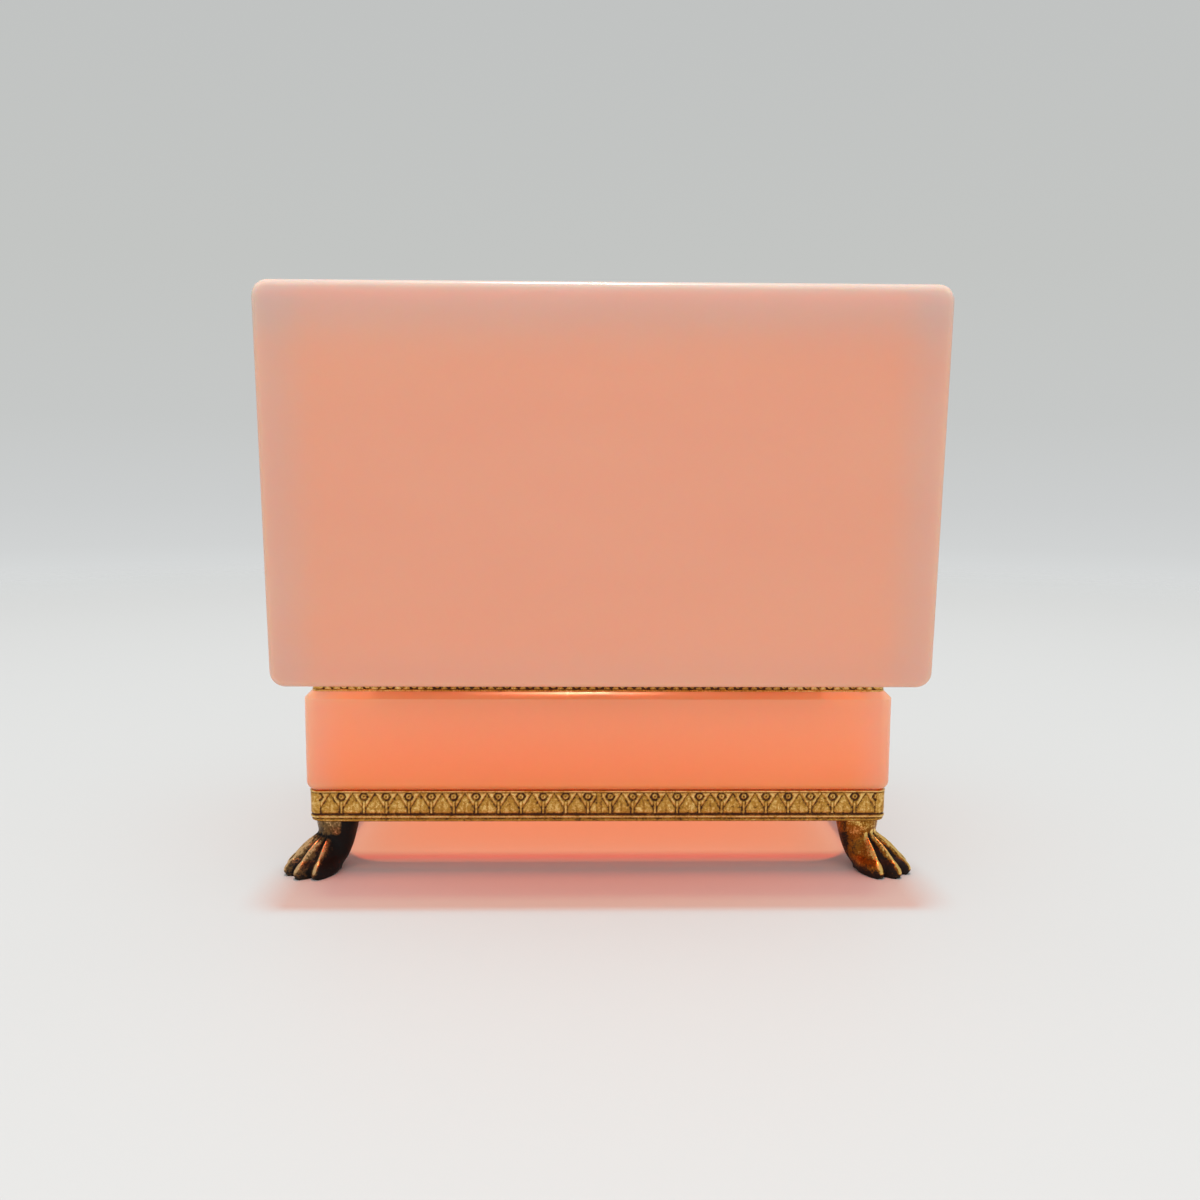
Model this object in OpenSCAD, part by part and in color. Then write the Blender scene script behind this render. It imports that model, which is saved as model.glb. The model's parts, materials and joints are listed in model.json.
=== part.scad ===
// Glass casket box on four paw feet, with its lid swung open on a rear hinge.
// Millimetres. +Z is up and the front of the box faces -Y. The origin lies on the
// table plane, midway between the four feet.

/* [Glass] */
// Width of the glass from left to right
glass_w = 150; // [125:1:190]
// Depth of the glass from front to back
glass_d = 89; // [78:1:130]
// Corner radius of the glass seen from above
glass_corner_r = 3.5; // [3:0.25:6]
// Height of base glass that shows between its two mounts
base_show_h = 25.7; // [20:0.1:45]
// Height of lid glass that stands above its mount
lid_show_h = 21; // [16:0.5:32]
// Wall thickness of the base glass
base_wall_t = 8; // [7:0.25:10]
// Floor thickness of the base glass
base_floor_t = 7.5; // [5:0.25:10]
// Wall thickness of the lid glass
lid_wall_t = 8; // [7:0.25:10]
// Thickness of the lid glass's top plate
lid_plate_t = 7.5; // [5:0.25:9]
// Rounding of the base glass's lower edge
lower_edge_r = 2.6; // [1.6:0.1:2.8]
// Width of the flat bevel along the base glass's upper shoulder
shoulder_bevel = 1.7; // [1.2:0.05:1.9]
// Rounding of the lid glass's top edge
lid_edge_r = 1.5; // [0.8:0.1:2.5]
// Rounding of the lid glass's edge above its mount
lid_shoulder_r = 1.8; // [0.8:0.1:2.5]
// Rounding inside the hollows, where the walls meet the floor
hollow_r = 4; // [2:0.5:6]

/* [Mounts] */
// How far the lower mount's face lies inside the glass's face
lower_inset = 0.8; // [0.5:0.1:1.2]
// How far the rim mounts' faces lie inside the glass's face
rim_inset = 1.75; // [1.3:0.05:2.2]
// Height of the lower mount
lower_band_h = 8.1; // [7:0.1:10]
// Height of each of the two mounts at the parting line
rim_band_h = 7.4; // [6.5:0.1:9]
// Corner radius of the mounts seen from above
mount_corner_r = 2.6; // [2:0.1:3.2]
// Thickness of the strip behind the ornament
strip_t = 0.8; // [0.6:0.05:1]
// How far the ornament stands out from its strip
relief_t = 0.4; // [0.2:0.05:0.5]
// Spacing of the leaves round the lower mount
lower_pitch = 5.75; // [4.5:0.05:8]
// Spacing of the leaves round the rim mounts
rim_pitch = 5.9; // [4.5:0.05:8]
// Width of each leaf as a share of its spacing
leaf_share = 0.72; // [0.5:0.01:0.85]
// Height of the plain fillet along the glass side of a mount
fillet_h = 0.5; // [0.3:0.05:0.8]
// Height of each of the two mouldings along a mount's other side
moulding_h = 0.8; // [0.5:0.05:1]
// Height of the grooves beside the mouldings
groove_h = 0.3; // [0.2:0.05:0.4]
// Thickness of the flat plates that meet at the parting line
plate_t = 0.9; // [0.6:0.05:1.2]
// Thickness of the lips that line the glass mouths
lip_t = 0.7; // [0.5:0.05:1]
// Height of the lips that line the glass mouths
lip_h = 4.5; // [3:0.1:6]
// Width of the tray's ledge under the base glass
ledge_w = 5; // [4:0.25:7]
// Thickness of the tray's ledge
ledge_t = 1.4; // [1.2:0.05:1.8]
// Corner radius of the tray's opening, which leaves the corner plates
tray_opening_r = 14; // [12:0.5:20]

/* [Feet] */
// Height of the feet
foot_h = 13.3; // [12:0.1:18]
// Distance of each foot's axis from the lower mount's two faces
foot_in = 6.2; // [5.8:0.1:7]
// Radius of the ankle
ankle_r = 4.9; // [4.2:0.1:5.2]
// Height of the straight ankle above the instep
ankle_h = 3.8; // [3:0.1:5]
// Distance from the foot's axis to the tips of its two middle toes
toe_reach = 15.3; // [13.5:0.1:16]
// Reach of the outer toes as a share of the middle ones'
outer_toe_share = 0.87; // [0.8:0.01:1]
// Angle between neighbouring toes
toe_step = 19; // [17:0.5:22]
// Radius of a toe at its knuckles
toe_r = 1.85; // [1.6:0.05:2.1]

/* [Hinge] */
// Angle to which the lid is swung open
lid_open_angle = 94; // [90:0.5:96]
// Length of the hinge
hinge_l = 114; // [100:1:124]
// Number of knuckles, an odd number
knuckles = 7; // [5:2:9]
// Distance of the hinge's axis behind the rim mounts' back faces
hinge_back = 3.35; // [3.2:0.05:4]
// Outer radius of the knuckles
knuckle_r = 1.9; // [1.7:0.05:2]
// Radius of the hinge pin
pin_r = 0.85; // [0.7:0.05:1]
// Thickness of the hinge leaves
leaf_t = 0.7; // [0.5:0.05:0.8]
// Height of each hinge leaf on its mount
leaf_h = 4.5; // [3.5:0.1:5]
// Thickness of the stop heel on the lid's knuckles
heel_t = 1.3; // [1:0.05:1.5]

/* [Thumb lift] */
// Width of the thumb lift
lift_w = 13; // [9:0.5:18]
// Height of the thumb lift's leaf plate
lift_h = 6.4; // [5:0.1:7]
// Thickness of the thumb lift's leaf plate
lift_t = 0.9; // [0.6:0.05:1.2]
// How far the finger ledge stands out from the plate
ledge_out = 1.7; // [1.2:0.1:2.4]

/* [Screws] */
// Radius of the foot screws' shanks
screw_r = 1.2; // [1:0.05:1.5]
// Length of the foot screws, head included
screw_l = 8; // [6:0.5:9]
// Radius of the foot screws' countersunk heads
screw_head_r = 2.2; // [1.8:0.05:2.4]

/* [Fits] */
// Thickness of the cement between glass and mounts
cement_t = 0.5; // [0.3:0.05:0.7]
// Gap between the two mounts when the lid is shut
parting_gap = 0.12; // [0.08:0.01:0.3]
// Gap between a lip and the glass that it lines
lip_gap = 0.1; // [0.05:0.05:0.3]
// Clearance of the hinge pin in its knuckles, on the radius
pin_clear = 0.05; // [0.02:0.01:0.1]
// Gap between neighbouring knuckles
knuckle_gap = 0.2; // [0.1:0.05:0.4]
// Gap that the stop heel keeps from the base leaf when the lid is open
stop_gap = 0.06; // [0.04:0.01:0.1]
// Clearance of the foot screws in their holes, on the radius
screw_clear = 0.05; // [0.03:0.01:0.15]

/* [Hidden] */
$fn = 48;

// Colours of the finishes
opaline = [0.91, 0.58, 0.47];
gilt = [0.74, 0.57, 0.26];
dark_bronze = [0.36, 0.23, 0.11];
plaster = [0.90, 0.87, 0.80];

// Fineness of hulled discs
hull_fn = 32;
// Fineness that turns a rounded edge into a flat bevel
bevel_fn = 4;
// Overlap of shapes that are fused into one piece
bite = 0.2;
// How far a cutting shape runs past what it cuts
over = 1;

// Heights above the table
ledge_top = foot_h + ledge_t;
base_z0 = foot_h + lower_band_h;
base_z1 = base_z0 + base_show_h;
parting_z = base_z1 + rim_band_h;
lid_z = parting_z + parting_gap;
base_bottom = ledge_top + cement_t;
floor_z = base_bottom + base_floor_t;

// Widths and depths of the mounts' faces, and of the room inside their strips
lower_w = glass_w - 2 * lower_inset;
lower_d = glass_d - 2 * lower_inset;
rim_w = glass_w - 2 * rim_inset;
rim_d = glass_d - 2 * rim_inset;
wall_t = relief_t + strip_t;
lower_room_w = lower_w - 2 * wall_t;
lower_room_d = lower_d - 2 * wall_t;
rim_room_w = rim_w - 2 * wall_t;
rim_room_d = rim_d - 2 * wall_t;
room_r = mount_corner_r - wall_t;

// Hollows of the two glass bodies
base_hollow_w = glass_w - 2 * base_wall_t;
base_hollow_d = glass_d - 2 * base_wall_t;
lid_hollow_w = glass_w - 2 * lid_wall_t;
lid_hollow_d = glass_d - 2 * lid_wall_t;
hollow_corner_r = hollow_r + 0.5;

// Hinge axis and the parts of the hinge
rim_back = rim_d / 2;
axis_y = rim_back + hinge_back;
axis_z = parting_z + parting_gap / 2;
knuckle_l = (hinge_l - (knuckles - 1) * knuckle_gap) / knuckles;
web_t = 0.9;
web_drop = 0.35;
leaf_drop = 0.1;
heel_drop = 0.5;
pin_end = 0.5;

// Feet
foot_x = lower_w / 2 - foot_in;
foot_y = lower_d / 2 - foot_in;
toes = 4;
instep_lean = 1.1;
instep_drop = 2.2;
instep_r = ankle_r * 0.94;
pad_out = 5.4;
pad_r = 4.4;
pad_h = 3;
toe_root = 0.27;
knuckle_out = 0.48;
joint_out = 0.7;
knuckle_up = 5.3;
joint_up = 4.1;
claw_r = 1.6;

// Closed outline with round corners
module outline(w, d, r) {
    square([w - 2 * r, d], center = true);
    square([w, d - 2 * r], center = true);
    for (sx = [-1, 1], sy = [-1, 1])
        translate([sx * (w / 2 - r), sy * (d / 2 - r)]) circle(r);
}

// Upright ring between two outlines, standing on z = 0
module ring(w, d, r, inner_w, inner_d, inner_r, h) {
    difference() {
        linear_extrude(h) outline(w, d, r);
        translate([0, 0, -over]) linear_extrude(h + 2 * over) outline(inner_w, inner_d, inner_r);
    }
}

// Upright section of a block with rounded lower and upper edges, standing on y = 0
module edge_profile(w, h, low_r, high_r, high_fn) {
    middle = h / 2;
    translate([-w / 2, low_r]) square([w, h - low_r - high_r]);
    if (w > 2 * low_r) translate([low_r - w / 2, 0]) square([w - 2 * low_r, middle]);
    if (w > 2 * high_r) translate([high_r - w / 2, middle]) square([w - 2 * high_r, middle]);
    for (side = [-1, 1]) {
        if (low_r > 0) translate([side * (w / 2 - low_r), low_r]) circle(low_r);
        if (high_r > 0) translate([side * (w / 2 - high_r), h - high_r])
            circle(high_r, $fn = high_fn);
    }
}

// Block with round corners whose lower and upper edges are rounded, standing on z = 0
module soft_block(w, d, r, h, low_r, high_r, high_fn = $fn) {
    rotate([90, 0, 90]) linear_extrude(w - 2 * r, center = true)
        edge_profile(d, h, low_r, high_r, high_fn);
    rotate([90, 0, 0]) linear_extrude(d - 2 * r, center = true)
        edge_profile(w, h, low_r, high_r, high_fn);
    for (sx = [-1, 1], sy = [-1, 1])
        translate([sx * (w / 2 - r), sy * (d / 2 - r), 0]) rotate_extrude()
            intersection() {
                edge_profile(2 * r, h, low_r, high_r, high_fn);
                translate([0, -over]) square([r + over, h + 2 * over]);
            }
}

// Lid pieces are drawn shut and swung open about the hinge axis
module swung_open() {
    translate([0, axis_y, axis_z]) rotate([-lid_open_angle, 0, 0])
        translate([0, -axis_y, -axis_z]) children();
}

// Pieces of a rim mount are drawn upwards from the parting line, and hang down on the base
module on_base_rim() {
    translate([0, 0, parting_z]) mirror([0, 0, 1]) children();
}

module on_lid_rim() {
    swung_open() translate([0, 0, lid_z]) children();
}

// Row of pointed leaves on a shared foot, one leaf per spacing
module leaf_row(length, h, spacing) {
    count = max(1, round(length / spacing));
    step = length / count;
    half = leaf_share * step / 2;
    foot = h / 9;
    translate([-length / 2, 0]) square([length, foot]);
    for (i = [0:count - 1]) translate([-length / 2 + (i + 0.5) * step, 0])
        polygon([[-half, 0], [half, 0], [half * 0.9, h * 0.4], [0, h * 0.97], [-half * 0.9, h * 0.4]]);
}

// Stamped strip with two mouldings at z = 0, leaves that point up, and a fillet at the top
module frieze_band(w, d, h, spacing) {
    core_w = w - 2 * relief_t;
    core_d = d - 2 * relief_t;
    core_r = mount_corner_r - relief_t;
    room_w = w - 2 * wall_t;
    room_d = d - 2 * wall_t;
    second_z = moulding_h + groove_h;
    field_z = second_z + moulding_h + groove_h;
    field_h = h - fillet_h - field_z;
    drawn_in = relief_t / 2;
    ring(core_w, core_d, core_r, room_w, room_d, room_r, h);
    ring(w - 2 * drawn_in, d - 2 * drawn_in, mount_corner_r - drawn_in,
         room_w, room_d, room_r, moulding_h);
    translate([0, 0, second_z])
        ring(w, d, mount_corner_r, room_w, room_d, room_r, moulding_h);
    translate([0, 0, h - fillet_h])
        ring(w, d, mount_corner_r, room_w, room_d, room_r, fillet_h);
    for (side = [0, 1]) rotate([0, 0, 180 * side]) {
        translate([0, -core_d / 2 + bite, field_z]) rotate([90, 0, 0])
            linear_extrude(bite + relief_t)
                leaf_row(w - 2 * mount_corner_r, field_h, spacing);
        rotate([0, 0, 90]) translate([0, -core_w / 2 + bite, field_z]) rotate([90, 0, 0])
            linear_extrude(bite + relief_t)
                leaf_row(d - 2 * mount_corner_r, field_h, spacing);
    }
}

// Flat plate that closes a rim mount at the parting line
module rim_plate(hollow_w, hollow_d) {
    ring(rim_room_w, rim_room_d, room_r, hollow_w - 2 * lip_gap, hollow_d - 2 * lip_gap,
         hollow_corner_r, plate_t);
}

// Strip that lines the mouth of the glass, inside the plate
module inner_lip(hollow_w, hollow_d) {
    w = hollow_w - 2 * lip_gap;
    d = hollow_d - 2 * lip_gap;
    ring(w, d, hollow_corner_r, w - 2 * lip_t, d - 2 * lip_t, hollow_corner_r - lip_t, lip_h);
}

// Cement between a mount's strip and plate and the glass that stands in them
module cement(room_w, room_d, inner_w, inner_d, inner_r, h) {
    ring(room_w, room_d, room_r, inner_w, inner_d, inner_r, cement_t);
    ring(room_w, room_d, room_r, room_w - 2 * cement_t, room_d - 2 * cement_t,
         room_r - cement_t, h);
}

module rim_cement(hollow_w, hollow_d) {
    translate([0, 0, plate_t])
        cement(rim_room_w, rim_room_d, hollow_w, hollow_d, hollow_corner_r,
               rim_band_h - fillet_h - plate_t);
}

module base_glass() color(opaline) {
    rim_top = parting_z - plate_t - cement_t;
    difference() {
        union() {
            translate([0, 0, base_z0])
                soft_block(glass_w, glass_d, glass_corner_r, base_show_h, lower_edge_r,
                           shoulder_bevel, bevel_fn);
            translate([0, 0, base_bottom]) linear_extrude(base_z0 - base_bottom + bite)
                outline(lower_room_w - 2 * cement_t, lower_room_d - 2 * cement_t, room_r - cement_t);
            translate([0, 0, base_z1 - bite]) linear_extrude(rim_top - base_z1 + bite)
                outline(rim_room_w - 2 * cement_t, rim_room_d - 2 * cement_t, room_r - cement_t);
        }
        translate([0, 0, floor_z])
            soft_block(base_hollow_w, base_hollow_d, hollow_corner_r,
                       rim_top - floor_z + over, hollow_r, 0);
    }
}

module base_foot_cement() color(plaster)
    translate([0, 0, ledge_top])
        cement(lower_room_w, lower_room_d, lower_room_w - 2 * ledge_w,
               lower_room_d - 2 * ledge_w, tray_opening_r, lower_band_h - ledge_t - fillet_h);

module lower_frieze_band() color(gilt)
    translate([0, 0, foot_h]) frieze_band(lower_w, lower_d, lower_band_h, lower_pitch);

// Four places on the tray, one over each foot
module at_feet() {
    for (sx = [-1, 1], sy = [-1, 1])
        translate([sx * foot_x, sy * foot_y, foot_h]) children();
}

// Ledge with a plate across each corner, drilled and countersunk for the foot screws
module lower_tray_frame() color(gilt) difference() {
    translate([0, 0, foot_h])
        ring(lower_room_w, lower_room_d, room_r, lower_room_w - 2 * ledge_w,
             lower_room_d - 2 * ledge_w, tray_opening_r, ledge_t);
    at_feet() {
        translate([0, 0, -over]) cylinder(r = screw_r + screw_clear, h = ledge_t + 2 * over);
        translate([0, 0, ledge_t - (screw_head_r - screw_r)])
            cylinder(r1 = screw_r + screw_clear, r2 = screw_head_r + screw_clear,
                     h = screw_head_r - screw_r);
    }
}

module foot_screws() color(dark_bronze) at_feet() {
    translate([0, 0, ledge_t - screw_l]) cylinder(r = screw_r, h = screw_l);
    translate([0, 0, ledge_t - (screw_head_r - screw_r)])
        cylinder(r1 = screw_r, r2 = screw_head_r, h = screw_head_r - screw_r);
}

// One toe that slopes from the instep over two knuckles down to a claw
module toe(reach) {
    hull() {
        translate([reach * toe_root, 0, knuckle_up + toe_r / 2]) sphere(toe_r, $fn = 16);
        translate([reach * knuckle_out, 0, knuckle_up]) sphere(toe_r, $fn = 16);
        translate([reach * joint_out, 0, joint_up]) sphere(toe_r, $fn = 16);
        translate([reach - claw_r, 0, claw_r]) sphere(claw_r, $fn = 16);
        translate([reach * toe_root, 0, 0]) cylinder(r = claw_r, h = claw_r, $fn = 16);
    }
}

// Paw that points along +X, standing on z = 0, with its screw hole in the ankle
module paw() {
    instep_z = foot_h - ankle_h - instep_drop;
    difference() {
        union() {
            hull() {
                translate([0, 0, foot_h - ankle_h]) cylinder(r = ankle_r, h = ankle_h, $fn = hull_fn);
                translate([instep_lean, 0, instep_z]) sphere(instep_r, $fn = 24);
            }
            hull() {
                translate([instep_lean, 0, instep_z]) sphere(instep_r, $fn = 24);
                translate([pad_out, 0, 0]) cylinder(r = pad_r, h = pad_h, $fn = hull_fn);
            }
            for (i = [0:toes - 1]) rotate([0, 0, (i - (toes - 1) / 2) * toe_step])
                toe(toe_reach * (i == 0 || i == toes - 1 ? outer_toe_share : 1));
        }
        translate([0, 0, foot_h + ledge_t - screw_l - over / 2])
            cylinder(r = screw_r + screw_clear, h = screw_l);
        translate([0, 0, -toe_reach])
            cylinder(r = 2 * toe_reach, h = toe_reach);
    }
}

module paw_foot(sx, sy) color(dark_bronze)
    translate([sx * foot_x, sy * foot_y, 0]) rotate([0, 0, atan2(sy, sx)]) paw();

module front_left_paw_foot() paw_foot(-1, -1);
module front_right_paw_foot() paw_foot(1, -1);
module back_left_paw_foot() paw_foot(-1, 1);
module back_right_paw_foot() paw_foot(1, 1);

module base_rim_cement() color(plaster)
    on_base_rim() rim_cement(base_hollow_w, base_hollow_d);

module base_frieze_band() color(gilt)
    on_base_rim() frieze_band(rim_w, rim_d, rim_band_h, rim_pitch);

module base_rim_plate() color(gilt)
    on_base_rim() rim_plate(base_hollow_w, base_hollow_d);

module base_inner_lip() color(gilt)
    on_base_rim() inner_lip(base_hollow_w, base_hollow_d);

module lid_glass() color(opaline) on_lid_rim() {
    rim_foot = plate_t + cement_t;
    hollow_h = rim_band_h + lid_show_h - lid_plate_t;
    difference() {
        union() {
            translate([0, 0, rim_band_h])
                soft_block(glass_w, glass_d, glass_corner_r, lid_show_h, lid_shoulder_r, lid_edge_r);
            translate([0, 0, rim_foot]) linear_extrude(rim_band_h - rim_foot + bite)
                outline(rim_room_w - 2 * cement_t, rim_room_d - 2 * cement_t, room_r - cement_t);
        }
        translate([0, 0, -over])
            soft_block(lid_hollow_w, lid_hollow_d, hollow_corner_r, hollow_h + over, 0, hollow_r);
    }
}

module lid_rim_cement() color(plaster)
    on_lid_rim() rim_cement(lid_hollow_w, lid_hollow_d);

module lid_frieze_band() color(gilt)
    on_lid_rim() frieze_band(rim_w, rim_d, rim_band_h, rim_pitch);

module lid_rim_plate() color(gilt)
    on_lid_rim() rim_plate(lid_hollow_w, lid_hollow_d);

module lid_inner_lip() color(gilt)
    on_lid_rim() inner_lip(lid_hollow_w, lid_hollow_d);

// Leaf-shaped plate on the lid's front strip, with a ledge for the fingertip
module thumb_lift() color(gilt) on_lid_rim() translate([0, -rim_d / 2, 0]) {
    half = lift_w / 2;
    ledge_r = moulding_h;
    translate([0, 0, groove_h]) rotate([90, 0, 0]) linear_extrude(lift_t)
        polygon([[-half * 0.7, 0], [half * 0.7, 0], [half, lift_h * 0.45],
                 [half * 0.55, lift_h * 0.75], [0, lift_h], [-half * 0.55, lift_h * 0.75],
                 [-half, lift_h * 0.45]]);
    translate([-half * 0.6, -lift_t - ledge_out + ledge_r, groove_h + ledge_r])
        rotate([0, 90, 0]) cylinder(r = ledge_r, h = lift_w * 0.6);
    translate([-half * 0.6, -lift_t - ledge_out + ledge_r, groove_h])
        cube([lift_w * 0.6, ledge_out - ledge_r + bite, 2 * ledge_r]);
}

// Section across a knuckle and the web that joins it to its leaf, drawn for the lid when shut
module knuckle_section() {
    circle(knuckle_r);
    translate([-hinge_back + leaf_t - bite, web_drop]) square([hinge_back - leaf_t + bite, web_t]);
}

// Section of the stop heel, which meets the base leaf when the lid is fully open
module heel_section()
    translate([-hinge_back + leaf_t + stop_gap, -heel_drop - heel_t])
        square([hinge_back - leaf_t - stop_gap, heel_t]);

// Knuckles number first, first + 2 and so on with the given section, drilled for the pin
module knuckle_row(first) {
    for (i = [first:2:knuckles - 1])
        translate([-hinge_l / 2 + i * (knuckle_l + knuckle_gap), 0, 0])
            rotate([90, 0, 90]) linear_extrude(knuckle_l) difference() {
                children();
                circle(pin_r + pin_clear);
            }
}

// Leaf on a mount's back face, drawn for the lid when shut
module leaf_plate()
    translate([-hinge_l / 2, -hinge_back, parting_gap / 2 + leaf_drop])
        cube([hinge_l, leaf_t, leaf_h]);

module hinge_base_leaf() color(gilt) translate([0, axis_y, axis_z]) mirror([0, 0, 1]) {
    leaf_plate();
    knuckle_row(0) knuckle_section();
}

module hinge_lid_leaf() color(gilt) translate([0, axis_y, axis_z]) {
    rotate([-lid_open_angle, 0, 0]) leaf_plate();
    knuckle_row(1) {
        rotate(-lid_open_angle) knuckle_section();
        heel_section();
    }
}

module hinge_pin() color(dark_bronze)
    translate([-hinge_l / 2 - pin_end, axis_y, axis_z]) rotate([0, 90, 0])
        cylinder(r = pin_r, h = hinge_l + 2 * pin_end);

base_glass();
base_foot_cement();
lower_frieze_band();
lower_tray_frame();
front_left_paw_foot();
front_right_paw_foot();
back_left_paw_foot();
back_right_paw_foot();
foot_screws();
base_rim_cement();
base_frieze_band();
base_rim_plate();
base_inner_lip();
lid_glass();
lid_rim_cement();
lid_frieze_band();
lid_rim_plate();
lid_inner_lip();
thumb_lift();
hinge_base_leaf();
hinge_lid_leaf();
hinge_pin();
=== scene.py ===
# %% [markdown]
# # A glass casket in gilt mounts
# The casket is two thick-walled bodies of milky pink glass. Each is cemented into a gilt strip
# that is stamped with leaves and darts, the two are joined by a hinge at the back, and four
# cast paws carry the base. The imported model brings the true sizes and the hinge. This script
# gives every piece its finish, and models again what stamping, casting and polishing shape:
# the glass, the three strips, the paws and the thumb lift. Lid pieces are drawn shut and then
# swung open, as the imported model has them.

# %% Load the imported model
import json
import math

import bmesh
import bpy
import numpy as np
from mathutils import Matrix, Vector


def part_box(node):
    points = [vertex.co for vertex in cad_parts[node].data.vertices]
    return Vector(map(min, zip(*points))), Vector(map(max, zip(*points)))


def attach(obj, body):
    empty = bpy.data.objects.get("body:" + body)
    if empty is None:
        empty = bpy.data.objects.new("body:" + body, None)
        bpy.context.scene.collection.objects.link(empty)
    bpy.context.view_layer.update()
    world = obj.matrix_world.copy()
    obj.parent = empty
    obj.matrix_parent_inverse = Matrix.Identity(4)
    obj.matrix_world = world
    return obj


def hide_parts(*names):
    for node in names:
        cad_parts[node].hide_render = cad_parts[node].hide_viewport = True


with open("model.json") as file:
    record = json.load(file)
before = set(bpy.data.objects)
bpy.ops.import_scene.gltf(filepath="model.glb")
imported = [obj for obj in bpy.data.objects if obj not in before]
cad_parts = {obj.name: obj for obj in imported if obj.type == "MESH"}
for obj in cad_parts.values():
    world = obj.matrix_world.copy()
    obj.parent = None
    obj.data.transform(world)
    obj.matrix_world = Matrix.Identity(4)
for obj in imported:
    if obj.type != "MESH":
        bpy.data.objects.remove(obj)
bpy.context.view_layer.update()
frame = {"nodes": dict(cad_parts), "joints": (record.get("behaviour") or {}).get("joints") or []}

# %% [markdown]
# ## Measures
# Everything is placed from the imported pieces, so a change of size there carries over to here.
# The lid's joint says where its hinge is and how far it swings: turning a packed lid piece back
# by that angle shows the box that it fills when the casket is shut.

# %% Units, the lid's swing and the boxes of the main pieces
MM = 0.001
hinge = frame["joints"][0]
pivot = Vector(hinge["pos_m"])
open_turn = math.radians(hinge["range_deg"][1])
swing = (Matrix.Translation(pivot) @ Matrix.Rotation(-open_turn, 4, Vector(hinge["axis"]))
         @ Matrix.Translation(-pivot))


def shut_box(node):
    """Lowest and highest corner of a lid piece as it lies when the lid is shut."""
    back = swing.inverted()
    places = np.array([back @ v.co for v in frame["nodes"][node].data.vertices])
    return Vector(places.min(0)), Vector(places.max(0))


base_low, base_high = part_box("base_glass")
foot_band_low, foot_band_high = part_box("lower_frieze_band")
rim_band_low, rim_band_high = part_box("base_frieze_band")
lid_low, lid_high = shut_box("lid_glass")
lid_band_low, lid_band_high = shut_box("lid_frieze_band")
glass_w = base_high.x - base_low.x
glass_d = base_high.y - base_low.y
print("glass", round(glass_w / MM, 2), "x", round(glass_d / MM, 2), "mm, lid swung by",
      hinge["range_deg"][1], "degrees")

# %% [markdown]
# ## Camera
# The photograph looks at the back of the casket from just above it. A camera model fitted to
# the glass edges, the strips and the feet gave the place, the turn and the lens below. The
# camera comes first, so that every later piece can be judged in the photograph's own view.

# %% Camera
# The picture's width and the focus are in the photograph's pixels, the sensor is in mm
PICTURE = 1200
FOCUS = 1143.2
SENSOR = 36.0
CAMERA_PLACE = Vector((5.72, 328.74, 103.98)) * MM
CAMERA_PITCH = math.radians(6.665)
CAMERA_YAW = math.radians(-1.143)
CAMERA_ROLL = math.radians(0.285)


def make_camera():
    """The camera of the photograph: it looks towards -Y, a little down."""
    data = bpy.data.cameras.new("camera")
    data.sensor_width = SENSOR
    data.lens = FOCUS * SENSOR / PICTURE
    data.clip_start = 10 * MM
    camera = bpy.data.objects.new("camera", data)
    bpy.context.scene.collection.objects.link(camera)
    level = math.cos(CAMERA_PITCH)
    ahead = Vector((math.sin(CAMERA_YAW) * level, -math.cos(CAMERA_YAW) * level,
                    -math.sin(CAMERA_PITCH)))
    turn = ahead.to_track_quat("-Z", "Y").to_matrix().to_4x4()
    camera.matrix_world = (Matrix.Translation(CAMERA_PLACE) @ turn
                           @ Matrix.Rotation(CAMERA_ROLL, 4, "Z"))
    bpy.context.scene.camera = camera
    return camera


camera = make_camera()
print("camera lens", round(camera.data.lens, 2), "mm")

# %% [markdown]
# ## Building node trees
# Every finish is a tree of shader nodes. A short helper adds a node with its settings and its
# input values, and another makes a group with named sockets, so that the trees below read as
# lists of what a finish is made of. One more ends a finish so that the lamp's light goes on
# through the piece, which the glowing glass and its thin mounts need.

# %% Helpers for node trees
def add(tree, kind, inputs=None, **settings):
    """Adds a node, sets its properties and its inputs, and links what is a socket."""
    node = tree.nodes.new(kind)
    for name, value in settings.items():
        setattr(node, name, value)
    for name, value in (inputs or {}).items():
        socket = node.inputs[name]
        if isinstance(value, bpy.types.NodeSocket):
            tree.links.new(value, socket)
        else:
            socket.default_value = value
    return node


def sums(tree, operation, *values):
    """A Math node's output."""
    return add(tree, "ShaderNodeMath", dict(enumerate(values)), operation=operation).outputs[0]


def ease(tree, value, start, end):
    """0 before start, 1 after end, with a smooth step between."""
    inputs = {"Value": value, "From Min": start, "From Max": end}
    return add(tree, "ShaderNodeMapRange", inputs, interpolation_type="SMOOTHSTEP").outputs[0]


def remap(tree, value, start, end, low=0.0, high=1.0):
    """Low before start, high after end, with a straight slope between."""
    inputs = {"Value": value, "From Min": start, "From Max": end, "To Min": low, "To Max": high}
    return add(tree, "ShaderNodeMapRange", inputs).outputs[0]


def blend(tree, share, first, second, kind="MIX"):
    """A colour between two colours."""
    node = add(tree, "ShaderNodeMix", {"Factor": share}, data_type="RGBA", blend_type=kind)
    for socket, value in ((node.inputs[6], first), (node.inputs[7], second)):
        if isinstance(value, bpy.types.NodeSocket):
            tree.links.new(value, socket)
        else:
            socket.default_value = value
    return node.outputs[2]


def clouds(tree, place, scale, detail=3.0, roughness=0.5):
    """Noise between 0 and 1; scale is in waves to the metre."""
    inputs = {"Vector": place, "Scale": scale, "Detail": detail, "Roughness": roughness}
    return add(tree, "ShaderNodeTexNoise", inputs).outputs["Fac"]


def end_mixed(tree, share, first, second, output="Material Output"):
    """Ends a tree in two shaders that are mixed by a share."""
    mix = add(tree, "ShaderNodeMixShader", {0: share, 1: first, 2: second})
    tree.links.new(mix.outputs[0], tree.nodes[output].inputs["Surface"])


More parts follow.
